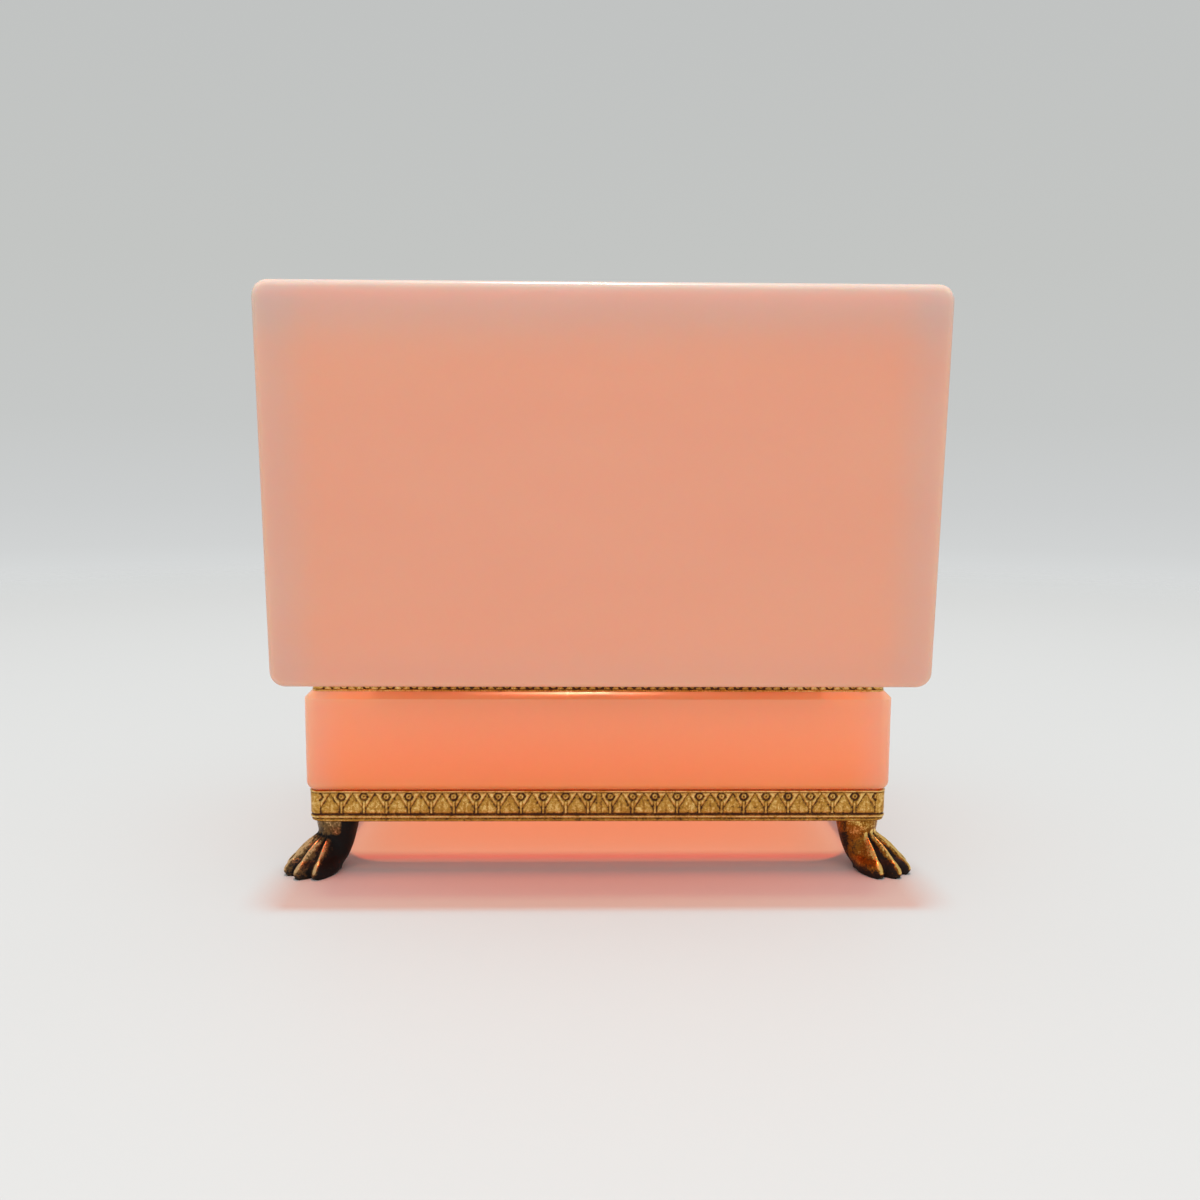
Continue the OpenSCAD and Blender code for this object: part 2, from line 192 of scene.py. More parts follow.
def pass_lamp(tree, shader, tint):
    """Lets the lamp's light on through a piece, tinted, where its shadow would fall."""
    passing = add(tree, "ShaderNodeBsdfTransparent", {"Color": tint}).outputs[0]
    shadow = add(tree, "ShaderNodeLightPath").outputs["Is Shadow Ray"]
    end_mixed(tree, shadow, shader.outputs[0], passing)


def new_group(name, inputs, outputs):
    """An empty node group with its sockets, its input node and its output node."""
    tree = bpy.data.node_groups.new(name, "ShaderNodeTree")
    for socket, kind in inputs.items():
        tree.interface.new_socket(name=socket, in_out="INPUT", socket_type="NodeSocket" + kind)
    for socket, kind in outputs.items():
        tree.interface.new_socket(name=socket, in_out="OUTPUT", socket_type="NodeSocket" + kind)
    return tree, tree.nodes.new("NodeGroupInput").outputs, tree.nodes.new("NodeGroupOutput").inputs


def new_material(name):
    """A material with one Principled shader, and that shader."""
    material = bpy.data.materials.new(name)
    material.use_nodes = True
    return material, material.node_tree, material.node_tree.nodes["Principled BSDF"]


def colour(red, green, blue):
    """A colour given as it looks on a screen, 0 to 255, in the linear light that shaders use."""
    def linear(value):
        share = value / 255
        return share / 12.92 if share <= 0.04045 else ((share + 0.055) / 1.055) ** 2.4
    return (linear(red), linear(green), linear(blue), 1.0)


print("node helpers ready")

# %% [markdown]
# ## Table, backdrop and light
# The photograph was taken on a pale table in front of a light grey wall, under one lamp almost
# straight above, in a room that is a little brighter behind the camera. A disc stands for the
# table. It fades out towards its rim, where the world's own colour takes over, so there is no
# edge in any view, and its underside is see-through, so that the casket can also be looked at
# from below. The world shows the wall to the camera, and to metal and glass that mirror it, but
# lights the casket with plain white.

# %% Table
# Its radius and the span over which it fades, in metres
TABLE_R = 1.1
TABLE_FADE = (0.62, 1.02)


def table_finish():
    """Matt and pale; clear towards the table's rim and from below."""
    material, tree, shader = new_material("table")
    shader.inputs["Base Color"].default_value = colour(190, 191, 190)
    shader.inputs["Roughness"].default_value = 0.55
    shader.inputs["Specular IOR Level"].default_value = 0.2
    place = add(tree, "ShaderNodeTexCoord").outputs["Object"]
    reach = add(tree, "ShaderNodeVectorMath", {0: place}, operation="LENGTH").outputs["Value"]
    fade = ease(tree, reach, *TABLE_FADE)
    behind = add(tree, "ShaderNodeNewGeometry").outputs["Backfacing"]
    clear = sums(tree, "MAXIMUM", fade, behind)
    nothing = add(tree, "ShaderNodeBsdfTransparent").outputs[0]
    end_mixed(tree, clear, shader.outputs[0], nothing)
    return material


def make_table():
    """A flat disc for the table, on no body of the casket."""
    drawing = bmesh.new()
    bmesh.ops.create_circle(drawing, cap_ends=True, radius=TABLE_R, segments=96)
    mesh = bpy.data.meshes.new("table")
    drawing.to_mesh(mesh)
    drawing.free()
    mesh.materials.append(table_finish())
    table = bpy.data.objects.new("table", mesh)
    bpy.context.scene.collection.objects.link(table)


make_table()
print("table radius", TABLE_R, "m")

# %% World: what the camera sees of the wall, and the light of the room
# Strength of the room's light and how much it leans to the camera's side; then the wall, as
# pairs of a height in the view, 0 at eye level, and the colour there
ROOM_LIGHT = 0.86
ROOM_LEAN = 0.55
WALL = ((-0.125, (226, 229, 229)), (-0.065, (209, 211, 211)), (-0.03, (204, 206, 206)),
        (0.04, (198, 200, 199)), (0.167, (195, 197, 195)), (0.35, (193, 195, 194)))


def make_world():
    """The wall for the eye, and the room's white light for the casket."""
    world = bpy.data.worlds.new("room")
    world.use_nodes = True
    tree = world.node_tree
    looks = add(tree, "ShaderNodeSeparateXYZ",
                {0: add(tree, "ShaderNodeTexCoord").outputs["Generated"]}).outputs
    low, high = WALL[0][0], WALL[-1][0]
    ramp = add(tree, "ShaderNodeValToRGB", {"Fac": remap(tree, looks["Z"], low, high)})
    marks = ramp.color_ramp.elements
    marks.remove(marks[-1])
    for i, (mark, shade) in enumerate(WALL):
        share = (mark - low) / (high - low)
        element = marks[0] if i == 0 else marks.new(share)
        element.position = share
        element.color = colour(*shade)
    seen = add(tree, "ShaderNodeBackground", {"Color": ramp.outputs["Color"], "Strength": 1.0})
    room = tree.nodes["Background"]
    room.inputs["Color"].default_value = (1, 1, 1, 1)
    strength = remap(tree, looks["Y"], -1.0, 1.0, ROOM_LIGHT * (1 - ROOM_LEAN),
                     ROOM_LIGHT * (1 + ROOM_LEAN))
    tree.links.new(strength, room.inputs["Strength"])
    ray = add(tree, "ShaderNodeLightPath").outputs
    direct = sums(tree, "MAXIMUM", ray["Is Camera Ray"], ray["Is Glossy Ray"])
    direct = sums(tree, "MAXIMUM", direct, ray["Is Transmission Ray"])
    end_mixed(tree, direct, room.outputs[0], seen.outputs[0], "World Output")
    bpy.context.scene.world = world


make_world()
print("room light", ROOM_LIGHT)

# %% Lamp
# Place and size in metres, power in watts
LAMP_PLACE = Vector((0.0, 0.268, 2.0))
LAMP_SIZE = 0.18
LAMP_POWER = 30.0


def make_lamp():
    """A round lamp that looks at the casket."""
    data = bpy.data.lights.new("lamp", "AREA")
    data.shape = "DISK"
    data.size = LAMP_SIZE
    data.energy = LAMP_POWER
    lamp = bpy.data.objects.new("lamp", data)
    bpy.context.scene.collection.objects.link(lamp)
    turn = (-LAMP_PLACE).to_track_quat("-Z", "Y").to_matrix().to_4x4()
    lamp.matrix_world = Matrix.Translation(LAMP_PLACE) @ turn


make_lamp()
bpy.context.scene.view_settings.view_transform = "Standard"
print("lamp", LAMP_POWER, "W")

# %% [markdown]
# ## Mesh helpers
# Most pieces of the casket are long profiles that run round a rectangle with round corners. A
# profile is written as its few corners, each with its own rounding, and is turned into points
# by one function. Another joins loops of equally many points into a closed skin. Two short
# ones, rise and drop, turn a distance into a share between 0 and 1.

# %% Helpers for meshes
def rise(value, start, over):
    """0 up to start, then straight up to 1."""
    return np.clip((value - start) / over, 0, 1)


def drop(value, end, over):
    """Straight down from 1 to 0 at end."""
    return np.clip((end - value) / over, 0, 1)


def soften(corners, step=0.4 * MM):
    """Points of an outline whose corners (across, up, rounding) are rounded with arcs."""
    places = [Vector(c[:2]) for c in corners]
    points = [places[0]]
    for before, place, after, radius in zip(places, places[1:], places[2:],
                                            [c[2] for c in corners[1:-1]]):
        u = (before - place).normalized()
        v = (after - place).normalized()
        half = u.angle(v) / 2
        centre = place + (u + v).normalized() * radius / math.sin(half)
        first = place + u * radius / math.tan(half) - centre
        sweep = math.pi - 2 * half
        steps = max(3, round(sweep * radius / step))
        side = 1 if u.x * v.y - u.y * v.x < 0 else -1
        for i in range(steps + 1):
            turn = Matrix.Rotation(side * sweep * i / steps, 2)
            points.append(centre + turn @ first)
    return points + [places[-1]]


def divide(points, longest):
    """The same outline, with no stretch longer than longest."""
    divided = [points[0]]
    for start, end in zip(points, points[1:]):
        parts = max(1, math.ceil((end - start).length / longest))
        divided += [start.lerp(end, i / parts) for i in range(1, parts + 1)]
    return divided


def rounded_loop(width, depth, radius, z, corner_steps=8, side_steps=16):
    """A level loop with round corners, as an array of points."""
    corners = []
    for sx, sy, start in ((1, 1, 0.0), (-1, 1, 0.5), (-1, -1, 1.0), (1, -1, 1.5)):
        turn = math.pi * (start + np.linspace(0, 0.5, corner_steps + 1))
        centre = np.array([sx * (width / 2 - radius), sy * (depth / 2 - radius)])
        corners.append(centre + radius * np.column_stack([np.cos(turn), np.sin(turn)]))
    points = []
    for here, after in zip(corners, corners[1:] + corners[:1]):
        points += [here, np.linspace(here[-1], after[0], side_steps + 1)[1:-1]]
    flat = np.vstack(points)
    return np.column_stack([flat, np.full(len(flat), z)])


def grid_faces(rows, columns, wrap_rows=False):
    """Faces between closed rows of points; wrap_rows joins the last row to the first."""
    here = np.arange(rows * columns).reshape(rows, columns)
    above = np.roll(here, -1, axis=0)
    if not wrap_rows:
        here, above = here[:-1], above[:-1]
    faces = np.stack([here, np.roll(here, -1, axis=1), np.roll(above, -1, axis=1), above], -1)
    return faces.reshape(-1, 4).tolist()


def make_piece(name, points, faces, material, body, stands_for, turn=None):
    """A smooth closed mesh that rides on a body and stands for CAD nodes."""
    mesh = bpy.data.meshes.new(name)
    mesh.from_pydata([tuple(p) for p in points], [], faces)
    if turn is not None:
        mesh.transform(turn)
    skin = bmesh.new()
    skin.from_mesh(mesh)
    bmesh.ops.recalc_face_normals(skin, faces=skin.faces)
    for face in skin.faces:
        face.smooth = True
    skin.to_mesh(mesh)
    skin.free()
    mesh.materials.append(material)
    piece = bpy.data.objects.new(name, mesh)
    bpy.context.scene.collection.objects.link(piece)
    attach(piece, body)
    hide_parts(*stands_for)
    print(name, len(mesh.polygons), "faces")
    return piece


def mark_relief(piece, values):
    """Notes on each point how high it stands, or how worn it is, with any painted shade or
    highlight, for its finish to read.
    """
    relief = piece.data.attributes.new("relief", "FLOAT", "POINT")
    relief.data.foreach_set("value", values.astype(np.float32))


print("mesh helpers ready")

# %% [markdown]
# ## Opaline glass
# The glass is milky right through: light enters it, wanders and comes out warmer. Subsurface
# scattering does this with the true wall thickness, so that thin walls glow. The colour is also
# painted to vary over a polished block: paler where the thick walls back the plate, a painted
# light for the glow that thin glass lets through and thick glass doesn't, with a painted
# reflection along the lid's front edge; deeper and more orange low on the base. A group mixes
# these tints from masks and adds faint drawn streaks, so that base and lid share one glass. Light
# from the lamp also passes straight through, tinted, which is why the table under the casket
# glows. The lid is stored as it stands open, so its finish turns each place back to the shut lid
# before it makes the masks.

# %% Group: milky glass tint
def milky_tint():
    """Mixes three tints by their masks; streaks, smears and ripples are noise."""
    tree, given, out = new_group(
        "Milky glass tint",
        {"Place": "Vector", "Pale Mask": "Float", "Deep Mask": "Float", "Body Color": "Color",
         "Pale Color": "Color", "Deep Color": "Color"},
        {"Color": "Color", "Roughness": "Float", "Height": "Float"})
    body = blend(tree, given["Deep Mask"], given["Body Color"], given["Deep Color"])
    body = blend(tree, given["Pale Mask"], body, given["Pale Color"])
    drawn = add(tree, "ShaderNodeVectorMath", {0: given["Place"], 1: (0.25, 1.0, 1.0)},
                operation="MULTIPLY").outputs[0]
    streaks = clouds(tree, drawn, 38.0, detail=2.0)
    shade = remap(tree, streaks, 0.25, 0.75, 0.955, 1.03)
    grey = add(tree, "ShaderNodeCombineColor", {0: 1.0, 1: shade, 2: shade}).outputs[0]
    tree.links.new(blend(tree, 1.0, body, grey, "MULTIPLY"), out["Color"])
    smears = clouds(tree, given["Place"], 70.0, detail=4.0, roughness=0.6)
    tree.links.new(remap(tree, smears, 0.3, 0.7, 0.13, 0.24), out["Roughness"])
    ripple = clouds(tree, given["Place"], 120.0, detail=1.0)
    tree.links.new(ripple, out["Height"])
    return tree


tint_group = milky_tint()
print("group", tint_group.name)

# %% Glass of the base and of the lid
BASE_BODY = colour(252, 170, 126)
BASE_DEEP = colour(254, 140, 82)
LID_BODY = colour(221, 158, 129)
LID_DEEP = colour(240, 150, 110)
# PALE is painted light: the tint of thick glass, where less light shines through
PALE = colour(188, 172, 164)
# How far red, green and blue light wander in the glass, and what passes straight through it
GLOW = (14.0 * MM, 6.0 * MM, 3.5 * MM)
BASE_PASSES = (1.17, 0.72, 0.50, 1.0)
LID_PASSES = (0.93, 0.54, 0.40, 1.0)
# Pale tints by the distance from an edge: full up to, gone from, strength. They are painted
# light, where thick glass glows less, and on the lid also a painted reflection. The lid has a wide
# and a narrow one along its front, one along both sides, and one along front and back
BASE_EDGE_PALE = (0.0, 12 * MM, 0.32)
LID_FRONT_PALE = (-2 * MM, 19 * MM, 0.46)
LID_RIM_PALE = (0.3 * MM, 3.2 * MM, 0.5)
LID_SIDE_PALE = (0.0, 14 * MM, 0.38)
LID_END_PALE = (0.0, 14 * MM, 0.14)
# Deep tints: on the base, from just past one mount to just past the other, and on the lid
BASE_DEEP_SHARE = 0.95
BASE_DEEP_PAST = 2 * MM
LID_DEEP_SHARE = 0.12
LID_DEEP_FROM = 12 * MM
# The lid's pale tint keeps to its plate: it sets in this far below the top, and is full where
# the rounding of the edge starts
LID_PLATE_H = 9 * MM
LID_EDGE_R = 1.5 * MM


def glass_shader(name, masks, body, deep_body, passes, turn_back):
    """Opaline glass; masks makes the pale and the deep mask from the place when shut."""
    material, tree, shader = new_material(name)
    place = add(tree, "ShaderNodeTexCoord").outputs["Object"]
    if turn_back:
        moved = pivot - Matrix.Rotation(open_turn, 3, "X") @ pivot
        place = add(tree, "ShaderNodeMapping",
                    {"Vector": place, "Rotation": (open_turn, 0, 0), "Location": moved}).outputs[0]
    pale, deep = masks(tree, add(tree, "ShaderNodeSeparateXYZ", {0: place}).outputs)
    tint = add(tree, "ShaderNodeGroup", node_tree=tint_group)
    for socket, value in (("Place", place), ("Pale Mask", pale), ("Deep Mask", deep)):
        tree.links.new(value, tint.inputs[socket])
    for socket, value in (("Body Color", body), ("Pale Color", PALE), ("Deep Color", deep_body)):
        tint.inputs[socket].default_value = value
    tree.links.new(tint.outputs["Color"], shader.inputs["Base Color"])
    tree.links.new(tint.outputs["Roughness"], shader.inputs["Roughness"])
    bump = add(tree, "ShaderNodeBump", {"Height": tint.outputs["Height"], "Distance": 0.02 * MM})
    tree.links.new(bump.outputs[0], shader.inputs["Normal"])
    shader.inputs["IOR"].default_value = 1.5
    shader.inputs["Subsurface Weight"].default_value = 0.75
    shader.inputs["Subsurface Radius"].default_value = GLOW
    shader.inputs["Subsurface Scale"].default_value = 1.0
    pass_lamp(tree, shader, passes)
    return material


def tint_band(tree, distance, full, gone, strength):
    """A tint that is full near an edge and fades out with the distance from it."""
    fading = sums(tree, "SUBTRACT", 1.0, ease(tree, distance, full, gone))
    return sums(tree, "MULTIPLY", fading, strength)


def side_room(tree, along, half):
    """How far a place lies inside a face whose edge is half away from the middle."""
    return sums(tree, "SUBTRACT", half, sums(tree, "ABSOLUTE", along))


def base_masks(tree, place):
    """Paler along the upright edges, a painted light for thick glass; deeper towards the foot."""
    room = sums(tree, "MAXIMUM", side_room(tree, place["X"], glass_w / 2),
                side_room(tree, place["Y"], glass_d / 2))
    deep = tint_band(tree, place["Z"], foot_band_high.z - BASE_DEEP_PAST,
                     rim_band_low.z + BASE_DEEP_PAST, BASE_DEEP_SHARE)
    return tint_band(tree, room, *BASE_EDGE_PALE), deep


def lid_masks(tree, place):
    """Paler round the plate, most along its front edge: painted light and a painted reflection.
    A little deeper towards the hinge.
    """
    front = sums(tree, "ADD", place["Y"], glass_d / 2)
    pale = tint_band(tree, front, *LID_FRONT_PALE)
    for distance, band in ((front, LID_RIM_PALE),
                           (side_room(tree, place["X"], glass_w / 2), LID_SIDE_PALE),
                           (side_room(tree, place["Y"], glass_d / 2), LID_END_PALE)):
        pale = sums(tree, "ADD", pale, tint_band(tree, distance, *band))
    plate = ease(tree, place["Z"], lid_high.z - LID_PLATE_H, lid_high.z - LID_EDGE_R)
    pale = sums(tree, "MULTIPLY", sums(tree, "MINIMUM", pale, 1.0), plate)
    deep = ease(tree, place["Y"], LID_DEEP_FROM, glass_d / 2)
    return pale, sums(tree, "MULTIPLY", deep, LID_DEEP_SHARE)


base_glass_finish = glass_shader("opaline_base", base_masks, BASE_BODY, BASE_DEEP, BASE_PASSES,
                                 False)
lid_glass_finish = glass_shader("opaline_lid", lid_masks, LID_BODY, LID_DEEP, LID_PASSES, True)
print("glass finishes", base_glass_finish.name, lid_glass_finish.name)

# %% [markdown]
# ## The glass bodies
# Each body is a block with a deep hollow. Its section is drawn once, from the outside, over the
# mouth and down the hollow, and carried round the rounded rectangle. The lower edge of the base
# is rounded, and its shoulder has a ground bevel. The lid has softly rounded edges.

# %% Sections of the glass
# Sharp edges and inner corners, the necks that the mounts go round, walls and roundings
EDGE = 0.35 * MM
INNER_EDGE = 0.1 * MM
NECK_LOW = 2.5 * MM
NECK_HIGH = 3.45 * MM
WALL_T = 8 * MM
FLOOR_T = 7.5 * MM
HOLLOW_R = 4 * MM
LOWER_EDGE_R = 2.3 * MM
BEVEL = 1.7 * MM
LID_SHOULDER_R = 1.6 * MM
CORNER_R = 3.5 * MM
HOLLOW_CORNER_R = 4.5 * MM
# How far in a section ends, where one flat face closes the body, inside and outside; and the
# longest stretch between two of its points
CAP_IN = 16 * MM
LONGEST_STEP = 5 * MM


def body_loops(section):
    """Loops round the glass for each point (inset, height) of a section."""
    insets = [0, CORNER_R - EDGE, WALL_T, WALL_T + HOLLOW_R]
    radii = [CORNER_R, EDGE, HOLLOW_CORNER_R, HOLLOW_CORNER_R - HOLLOW_R]
    loops = [rounded_loop(glass_w - 2 * p.x, glass_d - 2 * p.x,
                          float(np.interp(p.x, insets, radii)), p.y) for p in section]
    return np.array(loops)


def glass_body(name, corners, material, body, node, turn=None):
    """A closed body of glass whose section has the given corners (inset, height, rounding)."""
    loops = body_loops(divide(soften(corners), LONGEST_STEP))
    rows, columns = loops.shape[:2]
    faces = grid_faces(rows, columns)
    faces.append(list(range(columns))[::-1])
    faces.append(list(range((rows - 1) * columns, rows * columns)))
    return make_piece(name, loops.reshape(-1, 3), faces, material, body,
                      [node], turn)


base_section = [
    (CAP_IN, base_low.z, 0), (NECK_LOW, base_low.z, EDGE),
    (NECK_LOW, foot_band_high.z, INNER_EDGE), (0, foot_band_high.z, LOWER_EDGE_R),
    (0, rim_band_low.z - BEVEL, EDGE), (BEVEL, rim_band_low.z, EDGE),
    (NECK_HIGH, rim_band_low.z, INNER_EDGE),
    (NECK_HIGH, base_high.z, EDGE), (WALL_T, base_high.z, EDGE),
    (WALL_T, base_low.z + FLOOR_T, HOLLOW_R), (CAP_IN, base_low.z + FLOOR_T, 0)]
lid_section = [
    (CAP_IN, lid_high.z, 0), (0, lid_high.z, LID_EDGE_R),
    (0, lid_band_high.z, LID_SHOULDER_R), (NECK_HIGH, lid_band_high.z, INNER_EDGE),
    (NECK_HIGH, lid_low.z, EDGE), (WALL_T, lid_low.z, EDGE),
    (WALL_T, lid_high.z - FLOOR_T, HOLLOW_R), (CAP_IN, lid_high.z - FLOOR_T, 0)]
glass_body("base_glass_body", base_section, base_glass_finish, "base", "base_glass")
glass_body("lid_glass_body", lid_section, lid_glass_finish, "lid", "lid_glass", swing)

# %% [markdown]
# ## Aged gilding
# The strips are thin stamped brass, gilt and then worn for decades: bright where fingers and
# cloths reach, brown in every groove. One group makes this from a relief value, 1 on the high
# points and 0 in the grooves, and adds blotches, specks and fine grain at their own scales. The
# strips and plates would throw a hard grey shadow where the glass behind them really glows, so
# part of the lamp's light is let through them, in the glow's colour.

# %% Group: aged gilding
def aged_gilding():
    """Brown, gold or bright by one level: the relief, shifted by noise and by the wear."""
    tree, given, out = new_group(
        "Aged gilding",
        {"Place": "Vector", "Relief": "Float", "Wear": "Float", "Bright Color": "Color",
         "Gold Color": "Color", "Brown Color": "Color"},
        {"Color": "Color", "Roughness": "Float", "Metallic": "Float", "Height": "Float"})
    blotches = clouds(tree, given["Place"], 420.0, detail=4.0, roughness=0.6)
    grain = clouds(tree, given["Place"], 3800.0, detail=2.0)
    specks = clouds(tree, given["Place"], 1500.0, detail=3.0, roughness=0.7)
    level = given["Relief"]
    for value, strength in ((blotches, 1.0), (grain, 0.8), (specks, 1.4), (given["Wear"], 1.0)):
        shift = sums(tree, "MULTIPLY", sums(tree, "SUBTRACT", value, 0.5), strength)
        level = sums(tree, "ADD", level, shift)
    gold = ease(tree, level, 0.05, 0.6)
    bright = ease(tree, level, 0.62, 1.05)
    shade = blend(tree, gold, given["Brown Color"], given["Gold Color"])
    tree.links.new(blend(tree, bright, shade, given["Bright Color"]), out["Color"])
    tree.links.new(remap(tree, level, 0.0, 1.0, 0.6, 0.26), out["Roughness"])
    tree.links.new(remap(tree, gold, 0.0, 1.0, 0.55, 1.0), out["Metallic"])
    tree.links.new(grain, out["Height"])
    return tree


gilding_group = aged_gilding()
print("group", gilding_group.name)

# %% Gilt and bronze finishes
GILT = {"Bright Color": colour(247, 205, 128), "Gold Color": colour(196, 144, 62),
        "Brown Color": colour(70, 36, 10)}
BRONZE = {"Bright Color": colour(240, 194, 138), "Gold Color": colour(120, 92, 58),
          "Brown Color": colour(10, 8, 7)}
AMBER = {"Bright Color": colour(250, 208, 122), "Gold Color": colour(158, 102, 32),
         "Brown Color": colour(26, 13, 6)}
UNDER_GLOW = (0.94, 0.78, 0.66, 1.0)
PLAIN_RELIEF = 0.55


def metal_finish(name, shades, wear, relief=None, glow=False):
    """Aged metal; relief is a mesh attribute, or None; with glow it lets some light through."""
    material, tree, shader = new_material(name)
    place = add(tree, "ShaderNodeTexCoord").outputs["Object"]
    aged = add(tree, "ShaderNodeGroup", node_tree=gilding_group)
    tree.links.new(place, aged.inputs["Place"])
    aged.inputs["Wear"].default_value = wear
    aged.inputs["Relief"].default_value = PLAIN_RELIEF
    if relief:
        read = add(tree, "ShaderNodeAttribute", attribute_name=relief).outputs["Fac"]
        tree.links.new(read, aged.inputs["Relief"])
    for socket, value in shades.items():
        aged.inputs[socket].default_value = value
    tree.links.new(aged.outputs["Color"], shader.inputs["Base Color"])
    tree.links.new(aged.outputs["Roughness"], shader.inputs["Roughness"])
    tree.links.new(aged.outputs["Metallic"], shader.inputs["Metallic"])
    bump = add(tree, "ShaderNodeBump", {"Height": aged.outputs["Height"], "Distance": 0.03 * MM,
                                        "Strength": 0.6})
    tree.links.new(bump.outputs[0], shader.inputs["Normal"])
    if glow:
        pass_lamp(tree, shader, UNDER_GLOW)
    return material


strip_finish = metal_finish("gilt_strip", GILT, 0.5, "relief", glow=True)
plain_gilt = metal_finish("gilt_plain", GILT, 0.5, glow=True)
screw_finish = metal_finish("dull_brass", GILT, 0.3)
paw_dark = metal_finish("paw_dark_bronze", BRONZE, 0.5, "relief")
paw_amber = metal_finish("paw_amber_bronze", AMBER, 0.5, "relief")
print("metal finishes ready")

# %% [markdown]
# ## Plaster
# The glass is bedded in plaster inside its mounts. Little of it shows: a matt, off-white edge
# round the tray and along the mouths. It lies before the glowing glass as the mounts do, and
# lets the same part of the lamp's light through.

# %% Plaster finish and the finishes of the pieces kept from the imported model
def plaster_finish():
    material, tree, shader = new_material("bedding_plaster")
    place = add(tree, "ShaderNodeTexCoord").outputs["Object"]
    spots = clouds(tree, place, 900.0, detail=4.0)
    tree.links.new(blend(tree, spots, colour(206, 196, 176), colour(236, 230, 216)),
                   shader.inputs["Base Color"])
    shader.inputs["Roughness"].default_value = 0.9
    bump = add(tree, "ShaderNodeBump", {"Height": spots, "Distance": 0.08 * MM})
    tree.links.new(bump.outputs[0], shader.inputs["Normal"])
    pass_lamp(tree, shader, UNDER_GLOW)
    return material


KEPT = {
    plaster_finish(): ("base_foot_cement", "base_rim_cement", "lid_rim_cement"),
    plain_gilt: ("lower_tray_frame", "base_rim_plate", "base_inner_lip", "lid_rim_plate",
                 "lid_inner_lip", "hinge_base_leaf", "hinge_lid_leaf"),
    screw_finish: ("foot_screws", "hinge_pin"),
}
for finish, names in KEPT.items():
    for name in names:
        mesh = frame["nodes"][name].data
        mesh.materials.clear()
        mesh.materials.append(finish)
    print(finish.name, "on", ", ".join(names))

# %% [markdown]
# ## Leaf strips
# The strips are stamped with pointed leaves, and a dart between each two. One motif is written
# as a height over (across, up), and a closed band is swept round the mount with that height
# standing out from it. Real relief is needed here: the leaves catch light along their edges,
# and no bump could give the strip its toothed outline. The back of the foot strip has a seam,
# where the ends of the strip are soldered.

# %% One leaf with its darts, as a height
# The leaf: half its width and how it narrows to its tip, as shares of the spacing; the height of
# its rim, how much higher its middle stands, and how far in from the rim that takes
LEAF_HALF = 0.43
LEAF_TAPER = 0.56
LEAF_RIM = 0.42
LEAF_DOME = 0.34
DOME_REACH = 0.55 * MM
# Its carving: veins that slant down on both sides of a groove, which ends below the tip; its
# foot and its outline are sunk
VEIN_PITCH = 0.62 * MM
VEIN_SLANT = (1.1, 1.25)
VEIN_DEPTH = 0.13
VEIN_FADE = 0.3 * MM
GROOVE_W = 0.16 * MM
GROOVE_DEPTH = 0.38
GROOVE_TOP = 0.66
FOOT_DEPTH = 0.25
OUTLINE_W = 0.15 * MM
OUTLINE_DEPTH = 0.9
# The ground between the leaves, and the dart on it: a stem between two grooves, and a ring
GROUND = 0.86
STEM_W = 0.17 * MM
STEM_GROOVE_AT = 0.42 * MM
STEM_GROOVE = 0.75
RING_UP = 0.83
RING_R = 0.125


def bump_at(distance, width):
    """A soft ridge that is 1 at distance 0."""
    return np.exp(-(distance / width) ** 2)


def dart_relief(to_dart, up, spacing, height):
    """Height 0..1 of the ground, with the stem of a dart and the ring that it ends in."""
    grooves = bump_at(to_dart - STEM_GROOVE_AT, GROOVE_W) * STEM_GROOVE
    ground = GROUND * (1 - grooves) - 0.08 * bump_at(to_dart, STEM_W)
    to_ring = np.hypot(to_dart, (up - RING_UP) * height)
    ring_r = RING_R * spacing
    ring = 0.92 * bump_at(to_ring - 0.62 * ring_r, 0.32 * ring_r) + 0.12 * (to_ring > 1.35 * ring_r)
    return np.where(to_ring < 1.7 * ring_r, ring, ground)


def leaf_relief(across, up, spacing, height):
    """Height 0..1 of a leaf and its darts; across is 0..1 over a spacing, up is 0..1."""
    x = (across - 0.5) * spacing
    half = np.minimum(LEAF_HALF, LEAF_TAPER * (1 - up)) * spacing
    slope = spacing * LEAF_TAPER / height
    inside = (half - np.abs(x)) / math.sqrt(1 + slope * slope)
    slant = up * height * VEIN_SLANT[0] + np.abs(x) * VEIN_SLANT[1]
    veins = np.cos(slant / VEIN_PITCH * 2 * math.pi)
    dome = LEAF_RIM + LEAF_DOME * (1 - np.exp(-np.maximum(inside, 0) / DOME_REACH))
    leaf = dome + VEIN_DEPTH * veins * rise(inside, 0, VEIN_FADE)
    leaf -= GROOVE_DEPTH * bump_at(x, GROOVE_W) * np.clip((GROOVE_TOP - up) * 6, 0, 1)
    leaf -= FOOT_DEPTH * bump_at(up, 0.05)
    ground = dart_relief(spacing / 2 - np.abs(x), up, spacing, height)
    surface = np.where(inside > 0, leaf, ground)
    return surface - OUTLINE_DEPTH * surface * bump_at(inside, OUTLINE_W)


print("leaf height at its middle", round(float(leaf_relief(0.4, 0.3, 5.7 * MM, 5 * MM)), 2))

# %% A strip of leaves swept round a mount
RELIEF = 0.4 * MM
STRIP_T = 0.8 * MM
MOUNT_CORNER_R = 2.6 * MM
FOOT_PITCH = 5.75 * MM
RIM_PITCH = 5.9 * MM
# Parts of a strip's height: two beads, the dark groove, the field of leaves, the fillet
BEADS = ((0.005, 0.092), (0.112, 0.212))
FIELD = (0.275, 0.925)
FILLET = (0.945, 1.0)
LOWER_BEAD_RISE = 0.6
# Points of the mesh: along one leaf, round a corner, up a bead and up the field
MOTIF_COLUMNS = 22
CORNER_COLUMNS = 9
BEAD_ROWS = 7
FIELD_ROWS = 24
# Where the ends of the strip are soldered: a plain band between two grooves
SEAM_HALF = 0.55 * MM
SEAM_RISE = 0.55
SEAM_GROOVE = 0.5
SEAM_GROOVE_W = 0.13 * MM
